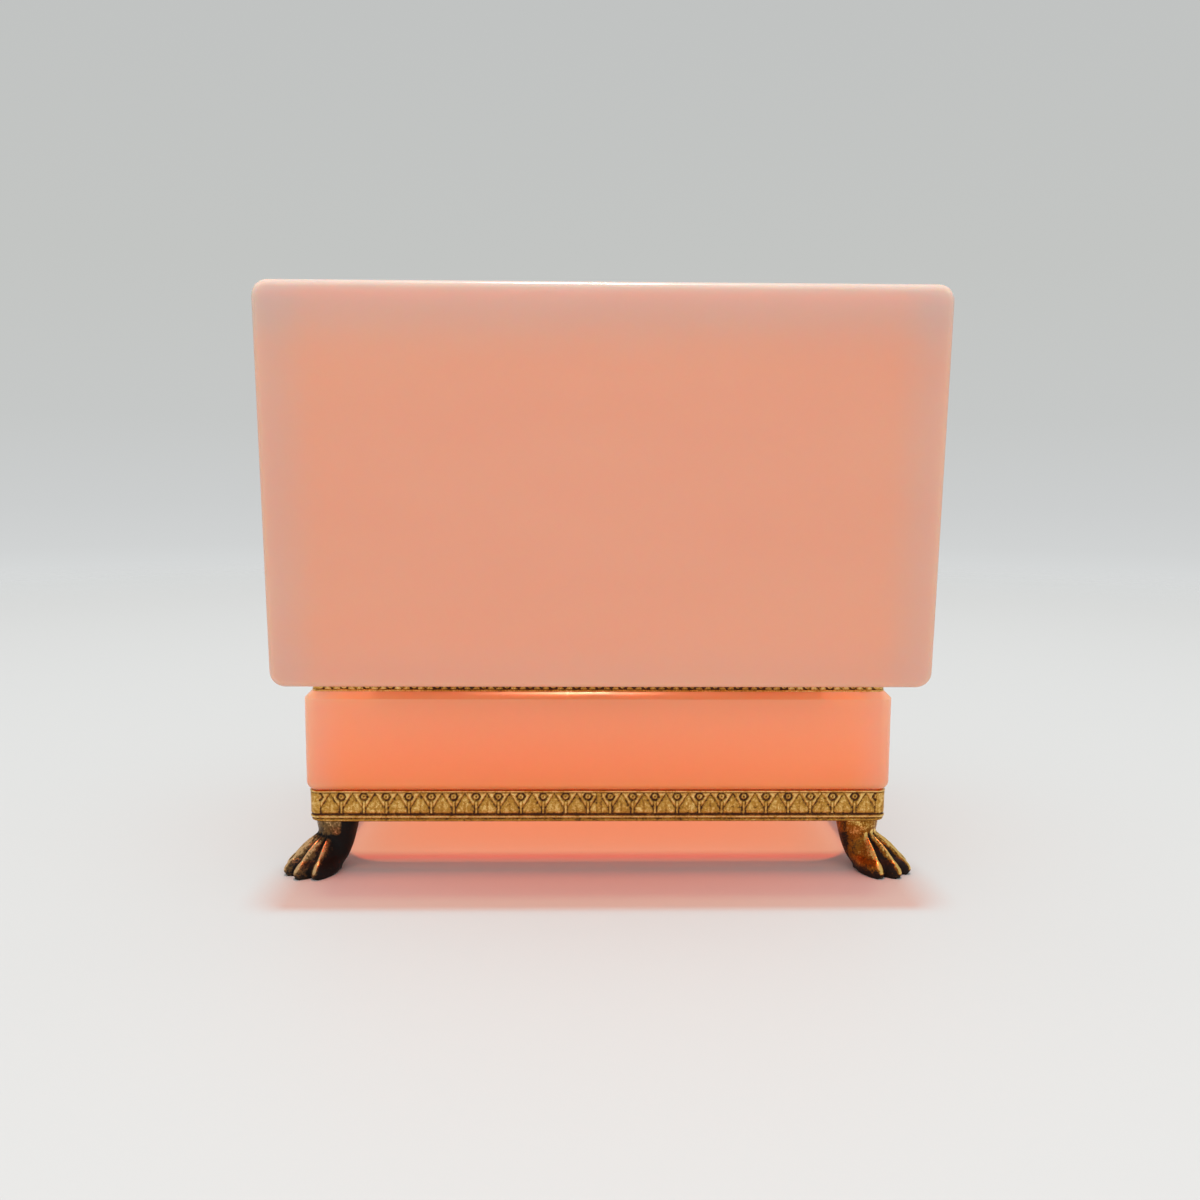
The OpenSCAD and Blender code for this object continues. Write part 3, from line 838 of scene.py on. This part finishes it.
# How high and how deep the lower edge is rounded in at the corners, and as far from a corner as
# how many of its radii; then the height of the plain field there, at its foot, and its gain
CORNER_SOFT_H = 2.0 * MM
CORNER_SOFT_IN = 0.7 * MM
CORNER_SOFT_FAR = 1.6
CORNER_FIELD = 0.62
CORNER_GAIN = 0.12
# Gilding, 0 brown to 1 bright: the least on the beads, that of the back, and what painted shade
# takes off along the middle of the back, where the hinge shadows the strip
BEAD_WEAR = 0.3
BACK_WEAR = 0.4
SHADED_HALF = 52 * MM
SHADED_FADE = 12 * MM
SHADED_BY = 0.3


def bead(up, low, high):
    """Half-round moulding between two heights."""
    middle = (low + high) / 2
    return np.sqrt(np.clip(1 - ((up - middle) / (high - middle)) ** 2, 0, 1))


def strip_rows():
    """Heights, as shares of the strip, of the points up its face."""
    rows = [np.linspace(*b, BEAD_ROWS) for b in BEADS]
    rows.append(np.linspace(BEADS[1][1] + 0.02, FIELD[0] - 0.01, 3))
    rows.append(np.linspace(*FIELD, FIELD_ROWS))
    rows.append([FILLET[0] - 0.012, FILLET[0], FILLET[0] + 0.015, 0.99, FILLET[1]])
    return np.concatenate(rows)


def plain_relief(up):
    """Height of the mouldings and the fillet on their own, 0..1."""
    low, high = (bead(up, *b) for b in BEADS)
    fillet = np.clip((up - FILLET[0] + 0.01) / 0.02, 0, 1) * np.where(up > 0.985, 0.85, 1.0)
    return np.maximum(LOWER_BEAD_RISE * low, high) + fillet


def side_columns(width, depth, pitch):
    """Round the mount: place and direction of each column, and its share of a motif or -1."""
    core_w, core_d = width - 2 * RELIEF, depth - 2 * RELIEF
    core_r = MOUNT_CORNER_R - RELIEF
    places, aways, shares = [], [], []
    for turn in range(4):
        along, out = ((core_d, core_w), (core_w, core_d))[turn % 2]
        length = along - 2 * core_r
        count = max(1, round(length / pitch))
        angle = turn * math.pi / 2
        away = np.array([math.cos(angle), math.sin(angle)])
        ahead = np.array([-away[1], away[0]])
        for i in range(count * MOTIF_COLUMNS):
            share = (i + 0.5) / MOTIF_COLUMNS
            s = (share / count - 0.5) * length
            places.append(away * out / 2 + ahead * s)
            aways.append(away)
            shares.append(share % 1)
        centre = away * (out / 2 - core_r) + ahead * (length / 2)
        for bend in np.linspace(0, math.pi / 2, CORNER_COLUMNS):
            round_away = np.array([math.cos(angle + bend), math.sin(angle + bend)])
            places.append(centre + round_away * core_r)
            aways.append(round_away)
            shares.append(-1)
    return np.array(places), np.array(aways), np.array(shares)


def drawn_in(places, width, depth, above):
    """How far the lower edge is rounded in at the corners; above is the height over it."""
    from_corner = np.hypot(width / 2 - np.abs(places[:, 0]), depth / 2 - np.abs(places[:, 1]))
    near = np.clip(CORNER_SOFT_FAR - from_corner / MOUNT_CORNER_R, 0, 1)[None, :]
    fall = np.clip(1 - above / CORNER_SOFT_H, 0, 1)
    return CORNER_SOFT_IN * near * (1 - np.sqrt(1 - fall * fall))


def soldered(relief, places):
    """The relief of a field with the seam in the middle of the back."""
    from_seam = np.where(places[:, 1] > 0, np.abs(places[:, 0]), 1.0)[None, :]
    plain = SEAM_RISE - SEAM_GROOVE * bump_at(from_seam - SEAM_HALF, SEAM_GROOVE_W)
    return np.where(from_seam < SEAM_HALF * 1.3, plain, relief)


def strip_wear_and_shade(relief, up, places, shaded):
    """How bright the gilding is on each point of a strip: by its relief, and its back last.
    When shaded, painted shade of the hinge darkens the middle of the back.
    """
    if shaded:
        # Painted shade: the hinge's shadow along the middle of the back
        behind = drop(np.abs(places[:, 0]), SHADED_HALF, SHADED_FADE) * (places[:, 1] > 0)
        relief = relief - SHADED_BY * behind[None, :]
    on_beads = (up > BEADS[0][0]) & (up < BEADS[1][1])
    relief = np.where(on_beads, np.maximum(relief, BEAD_WEAR), relief)
    return np.concatenate([relief.ravel(), np.full(2 * len(places), BACK_WEAR)])


def leaf_strip(name, low, high, pitch, body, node, upside_down=False, seam=False, turn=None):
    """A stamped strip between two heights; its leaves point up, or down if upside_down."""
    width, depth, height = (high[i] - low[i] for i in range(3))
    places, aways, shares = side_columns(width, depth, pitch)
    ups = strip_rows()
    across, up = np.meshgrid(shares, ups)
    in_field = rise(up, FIELD[0], FIELD[1] - FIELD[0])
    leaves = leaf_relief(across, in_field, pitch, (FIELD[1] - FIELD[0]) * height)
    leaves = np.where(across < 0, CORNER_FIELD + CORNER_GAIN * in_field, leaves)
    if seam:
        leaves = soldered(leaves, places)
    relief = np.where((up >= FIELD[0]) & (up <= FIELD[1]), leaves, plain_relief(up))
    out = relief * RELIEF
    if not upside_down:
        out -= drawn_in(places, width, depth, up * height)
    face = places[None, :, :] + aways[None, :, :] * out[:, :, None]
    back = places - aways * STRIP_T
    levels = (1 - ups if upside_down else ups) * height + low.z
    rows = [np.column_stack([face[i], np.full(len(places), levels[i])]) for i in range(len(ups))]
    rows.append(np.column_stack([back, np.full(len(places), levels[-1])]))
    rows.append(np.column_stack([back, np.full(len(places), levels[0])]))
    faces = grid_faces(len(rows), len(places), wrap_rows=True)
    piece = make_piece(name, np.vstack(rows), faces, strip_finish, body,
                       [node], turn)
    mark_relief(piece, strip_wear_and_shade(relief, up, places, shaded=upside_down))


leaf_strip("foot_leaf_strip", foot_band_low, foot_band_high, FOOT_PITCH, "base",
           "lower_frieze_band", seam=True)
leaf_strip("base_leaf_strip", rim_band_low, rim_band_high, RIM_PITCH, "base",
           "base_frieze_band", upside_down=True)
leaf_strip("lid_leaf_strip", lid_band_low, lid_band_high, RIM_PITCH, "lid",
           "lid_frieze_band", turn=swing)

# %% [markdown]
# ## Paws
# The feet are cast lion's paws. Each grows out of a round ankle, leans outwards to the corner
# and ends in four toes with sharp ridges, divided by deep grooves. Such a form has no edges to
# draw, so it is written as a distance: how far a point is from the nearest bone, with soft joins
# between the bones. The skin where that distance is nought is then meshed on a fine grid. All
# four paws are one casting, turned to its corner.

# %% Skin of a distance field
def skin_of(field, low, high, step):
    """Points and four-sided faces of the surface where a field is nought."""
    axes = [np.arange(a, b + step, step) for a, b in zip(low, high)]
    grid = np.stack(np.meshgrid(*axes, indexing="ij"), -1)
    value = field(grid)
    inside = value < 0
    size = np.array(value.shape) - 1
    total = np.zeros((*size, 3))
    count = np.zeros(size)
    for axis in range(3):
        others = [a for a in range(3) if a != axis]
        for shift in ((0, 0), (0, 1), (1, 0), (1, 1)):
            start = [slice(0, n) for n in size]
            for other, move in zip(others, shift):
                start[other] = slice(move, move + size[other])
            end = list(start)
            end[axis] = slice(1, size[axis] + 1)
            v0, v1 = value[tuple(start)], value[tuple(end)]
            crossing = (v0 < 0) != (v1 < 0)
            share = np.where(crossing, v0 / np.where(crossing, v0 - v1, 1), 0)[..., None]
            place = grid[tuple(start)] * (1 - share) + grid[tuple(end)] * share
            total += place * crossing[..., None]
            count += crossing
    mixed = count > 0
    number = np.full(size, -1)
    number[mixed] = np.arange(mixed.sum())
    points = total[mixed] / count[mixed][:, None]
    faces = []
    for axis in range(3):
        u, v = [a for a in range(3) if a != axis]
        changes = np.argwhere(np.diff(inside, axis=axis))
        back_u, back_v = np.eye(3, dtype=int)[u], np.eye(3, dtype=int)[v]
        around = [changes - back_u - back_v, changes - back_v, changes, changes - back_u]
        faces.append(np.stack([number[tuple(cell.T)] for cell in around], -1))
    return points, np.vstack(faces)


def slope_of(field, points, step=0.02 * MM):
    """Direction in which a field grows, at each point."""
    sides = [field(points + e) - field(points - e) for e in np.eye(3) * step]
    slope = np.stack(sides, -1)
    return slope / np.maximum(np.linalg.norm(slope, axis=-1, keepdims=True), 1e-12)


def settle(field, points, rounds=3):
    """Moves points onto the surface of the field."""
    for _ in range(rounds):
        points = points - slope_of(field, points) * field(points)[:, None]
    return points


print("surface mesher ready")

# %% The paw as a field
PAW_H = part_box("back_left_paw_foot")[1].z
TOE_STEP = math.radians(19)
OUTER_TOE = 0.87
# Bones as (outwards, up, radius) in mm: the leg from the ankle to the sole, then the parts of
# one toe: its core, the sharp ridge along it and the pad under it. These three are curves: where
# each starts, where it leans to and where it ends. TOES holds each toe's turn and its length.
LEG = ((0.0, 14.5, 5.1), (0.0, 11.6, 4.85), (0.0, 9.1, 3.85), (0.2, 6.9, 3.5), (1.6, 4.6, 3.65),
       (5.7, 2.4, 4.8))
TOE = ((3.6, 4.8, 0.6), (10.6, 4.0, 0.6), (13.25, 1.4, 1.45))
RIDGE = ((4.2, 9.5, 0.3), (11.0, 6.8, 0.3), (14.25, 1.5, 0.35))
PAD = ((3.4, 2.6, 2.6), (8.5, 1.1, 3.6), (12.0, 1.6, 2.0))
# Under its ridge a toe is a roof: half its width at the ridge, what it gains downwards and how
# deep it goes on gaining; it starts inside the leg
ROOF_TOP = 0.25 * MM
ROOF_SLOPE = 0.42
ROOF_DEEP = 4.6 * MM
ROOF_START = 2.6 * MM
TOES = tuple((k * TOE_STEP, 1.0 if abs(k) < 1 else OUTER_TOE) for k in (-1.5, -0.5, 0.5, 1.5))
# Soft joins between the bones of the leg, of a toe's core and pad, and of its ridge
LEG_SOFT = 2.0 * MM
TOE_SOFT = 0.3 * MM
RIDGE_SOFT = 0.1 * MM
# Soft joins of the ridge and the pad to the toe, of the toes to each other and to the leg
RIDGE_JOIN = 1.3 * MM
PAD_JOIN = 0.9 * MM
TOE_JOIN = 0.2 * MM
LEG_JOIN = 1.1 * MM
# The grid that the skin is meshed on, with the ankle's middle as its origin
PAW_LOW = (-6 * MM, -10.1 * MM, -0.3 * MM)
PAW_HIGH = (17.4 * MM, 10.1 * MM, PAW_H + 0.5 * MM)
PAW_STEP = 0.22 * MM


def to_bone(p, start, end, r0, r1):
    """Distance to a bone whose radius runs from r0 to r1."""
    along = end - start
    share = np.clip((p - start) @ along / (along @ along), 0, 1)
    return np.linalg.norm(p - start - share[..., None] * along, axis=-1) - r0 - (r1 - r0) * share


def join(a, b, soft):
    """The lesser of two distances, with a soft join."""
    gap = np.maximum(soft - np.abs(a - b), 0) / soft
    return np.minimum(a, b) - gap * gap * soft / 4


def arc(start, lean, end, parts=6):
    """Bones along a curve from start to end that leans towards a third bone."""
    t = np.linspace(0, 1, parts + 1)[:, None]
    return (1 - t) ** 2 * np.array(start) + 2 * t * (1 - t) * np.array(lean) + t * t * np.array(end)


def chain(p, bones, soft, turn=0.0, reach=1.0):
    """Distance to bones in a row, in the upright plane turned out by an angle."""
    ahead = np.array([math.cos(turn) * reach, math.sin(turn) * reach, 0]) * MM
    places = [ahead * out + np.array([0, 0, up * MM]) for out, up, _ in bones]
    radii = [r * MM for _, _, r in bones]
    near = None
    for a, b, r0, r1 in zip(places, places[1:], radii, radii[1:]):
        bone = to_bone(p, a, b, r0, r1)
        near = bone if near is None else join(near, bone, soft)
    return near


def roof(p, turn, reach):
    """Distance to the body of a toe, whose two sides fall away from its ridge."""
    out = p[..., 0] * math.cos(turn) + p[..., 1] * math.sin(turn)
    side = np.abs(p[..., 1] * math.cos(turn) - p[..., 0] * math.sin(turn))
    line = arc(*RIDGE, parts=12) * MM
    under = np.interp(out / reach, line[:, 0], line[:, 1], right=-PAW_H) - p[..., 2]
    width = ROOF_TOP + ROOF_SLOPE * np.clip(under, 0, ROOF_DEEP)
    return np.maximum(-join(width - side, 0.7 * under, 0.3 * MM), ROOF_START - out)


def paw_field(p):
    """Below 0 inside the paw; p is (outwards, sideways, up) from the middle of its ankle."""
    toes = None
    for turn, reach in TOES:
        toe = chain(p, arc(*TOE), TOE_SOFT, turn, reach)
        toe = join(toe, chain(p, arc(*RIDGE), RIDGE_SOFT, turn, reach), RIDGE_JOIN)
        toe = join(toe, chain(p, arc(*PAD), TOE_SOFT, turn, reach), PAD_JOIN)
        toe = np.minimum(toe, roof(p, turn, reach))
        toes = toe if toes is None else join(toes, toe, TOE_JOIN)
    body = join(chain(p, LEG, LEG_SOFT), toes, LEG_JOIN)
    return np.maximum(body, np.maximum(p[..., 2] - PAW_H, -p[..., 2]))


paw_points, paw_faces = skin_of(paw_field, PAW_LOW, PAW_HIGH, PAW_STEP)
paw_points = settle(paw_field, paw_points)
print("paw", len(paw_points), "points")

# %% Wear of the paw, with its painted shade and painted highlight, and the four castings
# How far out a groove is felt, and half the width of the bright line along a ridge, which is
# worn bright and carries a painted highlight
NEAR = 0.9 * MM
RUBBED_SHINE_HALF = 0.62 * MM
# How bright the ankle, the flanks and the toes are, 1 for worn bright and 0 or less for dark;
# how far round the back of the paw, towards the casket's middle, painted shade darkens it, and by
# how much; the heights in mm between which the ridges are worn bright and carry a painted highlight
DARK_WEAR_SHADE_AND_SHINE = {"ankle": 0.6, "flanks": -0.1, "toes": 0.28, "heel": 0.5, "heel_by": 0.8,
             "ridge_top": 9.2, "ridge_end": 0.8}
AMBER_WEAR_SHADE_AND_SHINE = {"ankle": 0.7, "flanks": 0.62, "toes": -0.1, "heel": 0.1, "heel_by": 0.4,
              "ridge_top": 11, "ridge_end": -0.6}
# Where the ankle starts, where the painted shade next to the table ends and where the ridges
# start, in mm; then how bright the ridges are, worn and with a painted highlight, and how dark the
# grooves
ANKLE_FROM = 9.0
SOLE_SHADE = 1.2
RIDGES_OUT = 4.0
RIDGE_SHINE = 1.3
GROOVE_DARK = 0.9


def paw_relief(points, wear):
    """High on the ridges, worn and with a painted highlight, and where cloths reach; low in the
    grooves; painted shade towards the casket's middle and next to the table.
    """
    away = slope_of(paw_field, points)
    open_air = paw_field(points + away * NEAR) / NEAR
    spread = np.arctan2(points[:, 1], points[:, 0])
    up = points[:, 2] / MM
    ankle = rise(up, ANKLE_FROM, 0.8)
    toes = drop(np.abs(spread), 1.6 * TOE_STEP, 0.1)
    # Painted shade on the side of the paw that faces the casket's middle
    heel = drop(np.cos(spread), wear["heel"], 0.12)
    across = np.min([np.abs(points[:, 1] * math.cos(turn) - points[:, 0] * math.sin(turn))
                     for turn, _ in TOES], 0)
    length = drop(up, wear["ridge_top"], 1.2) * rise(up, wear["ridge_end"], 1.5)
    outside = np.clip(np.hypot(points[:, 0], points[:, 1]) / MM - RIDGES_OUT, 0, 1)
    # Painted highlight: a ridge's line is bright only where its skin faces up, towards the lamp
    upwards = np.clip(away[:, 2] * 4 + 1, 0, 1)
    rubbed_shine = np.exp(-(across / RUBBED_SHINE_HALF) ** 2) * length * outside * upwards
    # Painted shade on the flanks next to the table
    flanks = wear["flanks"] * rise(up, SOLE_SHADE, 1.6) - 0.1
    body = toes * wear["toes"] + (1 - toes) * flanks
    level = ankle * wear["ankle"] + (1 - ankle) * body - wear["heel_by"] * heel
    return level + rubbed_shine * (RIDGE_SHINE - level) - GROOVE_DARK * (1 - open_air) * (1 - rubbed_shine)


FOOT_IN = 6.2 * MM
foot_x = foot_band_high.x - FOOT_IN
foot_y = foot_band_high.y - FOOT_IN
dark = (paw_dark, paw_relief(paw_points, DARK_WEAR_SHADE_AND_SHINE))
amber = (paw_amber, paw_relief(paw_points, AMBER_WEAR_SHADE_AND_SHINE))
for name, sx, sy, (finish, relief) in (("front_left", -1, -1, dark), ("front_right", 1, -1, amber),
                                       ("back_left", -1, 1, amber), ("back_right", 1, 1, dark)):
    turn = (Matrix.Translation((sx * foot_x, sy * foot_y, 0))
            @ Matrix.Rotation(math.atan2(sy, sx), 4, "Z"))
    paw = make_piece(name + "_paw", paw_points, paw_faces.tolist(), finish, "base",
                     [name + "_paw_foot"], turn)
    mark_relief(paw, relief)
    for face in paw.data.polygons:
        on_top = face.normal.z >= 0.9 and face.center.z >= PAW_H - 0.1 * MM
        face.use_smooth = not on_top

# %% [markdown]
# ## Thumb lift
# The photograph doesn't show the front. A small leaf with a ledge under it is the usual lift of
# such a casket, so it is drawn as one casting in the same way as the paws: a leaf-shaped plate
# with ribs that fan out from its foot, softly joined to a round ledge for the fingertip.

# %% The thumb lift as a field
# The plate and how far in from its edge it thickens; the ledge, its width as a share of the
# plate's, and its soft join; the ribs; the room round it and the step of the grid for its skin
lift_low, lift_high = shut_box("thumb_lift")
LIFT_PLATE_T = 0.9 * MM
LIFT_EDGE = 1.2 * MM
LIFT_LEDGE_R = 0.8 * MM
LIFT_LEDGE_HALF = 0.6
LIFT_JOIN = 0.7 * MM
LIFT_RIBS = 7
LIFT_MARGIN = 0.3 * MM
LIFT_STEP = 0.13 * MM
lift_half, lift_h = lift_high.x, lift_high.z - lift_low.z
lift_out = lift_high.y - lift_low.y
lift_foot = Vector((0, lift_high.y, lift_low.z))


def lift_field(p):
    """Below 0 inside the lift; p is (across, outwards, up) from the foot of its back."""
    across, outwards, up = p[..., 0], p[..., 1], p[..., 2]
    t = rise(up, 0, lift_h)
    side = lift_half * (0.7 + 0.62 * t - 0.2 * t * t) * np.sqrt(1 - t * t)
    rib = np.cos(np.arctan2(across, up + 0.35 * lift_h) * 2 * LIFT_RIBS)
    inside = drop(np.abs(across), side, LIFT_EDGE)
    thick = LIFT_PLATE_T * (0.5 + 0.3 * np.sqrt(inside) + 0.2 * rib * inside)
    plate = np.maximum(np.maximum(np.abs(across) - side, outwards - thick),
                       np.maximum(np.maximum(-outwards, -up), up - lift_h))
    reach = np.maximum(np.abs(across) - LIFT_LEDGE_HALF * lift_half + LIFT_LEDGE_R, 0)
    ledge = np.sqrt(reach ** 2 + np.maximum(outwards - lift_out + LIFT_LEDGE_R, 0) ** 2
                    + (up - LIFT_LEDGE_R) ** 2) - LIFT_LEDGE_R
    return np.maximum(join(plate, ledge, LIFT_JOIN), np.maximum(-outwards, -up))


lift_points, lift_faces = skin_of(
    lift_field, (-lift_half - LIFT_MARGIN, -LIFT_MARGIN, -LIFT_MARGIN),
    (lift_half + LIFT_MARGIN, lift_out + LIFT_MARGIN, lift_h + LIFT_MARGIN), LIFT_STEP)
lift_turn = swing @ Matrix.Translation(lift_foot) @ Matrix.Diagonal((1, -1, 1, 1))
lift = make_piece("thumb_lift_leaf", lift_points, lift_faces.tolist(), strip_finish, "lid",
                  ["thumb_lift"], lift_turn)
mark_relief(lift, rise(lift_points[:, 1], 0, LIFT_PLATE_T))
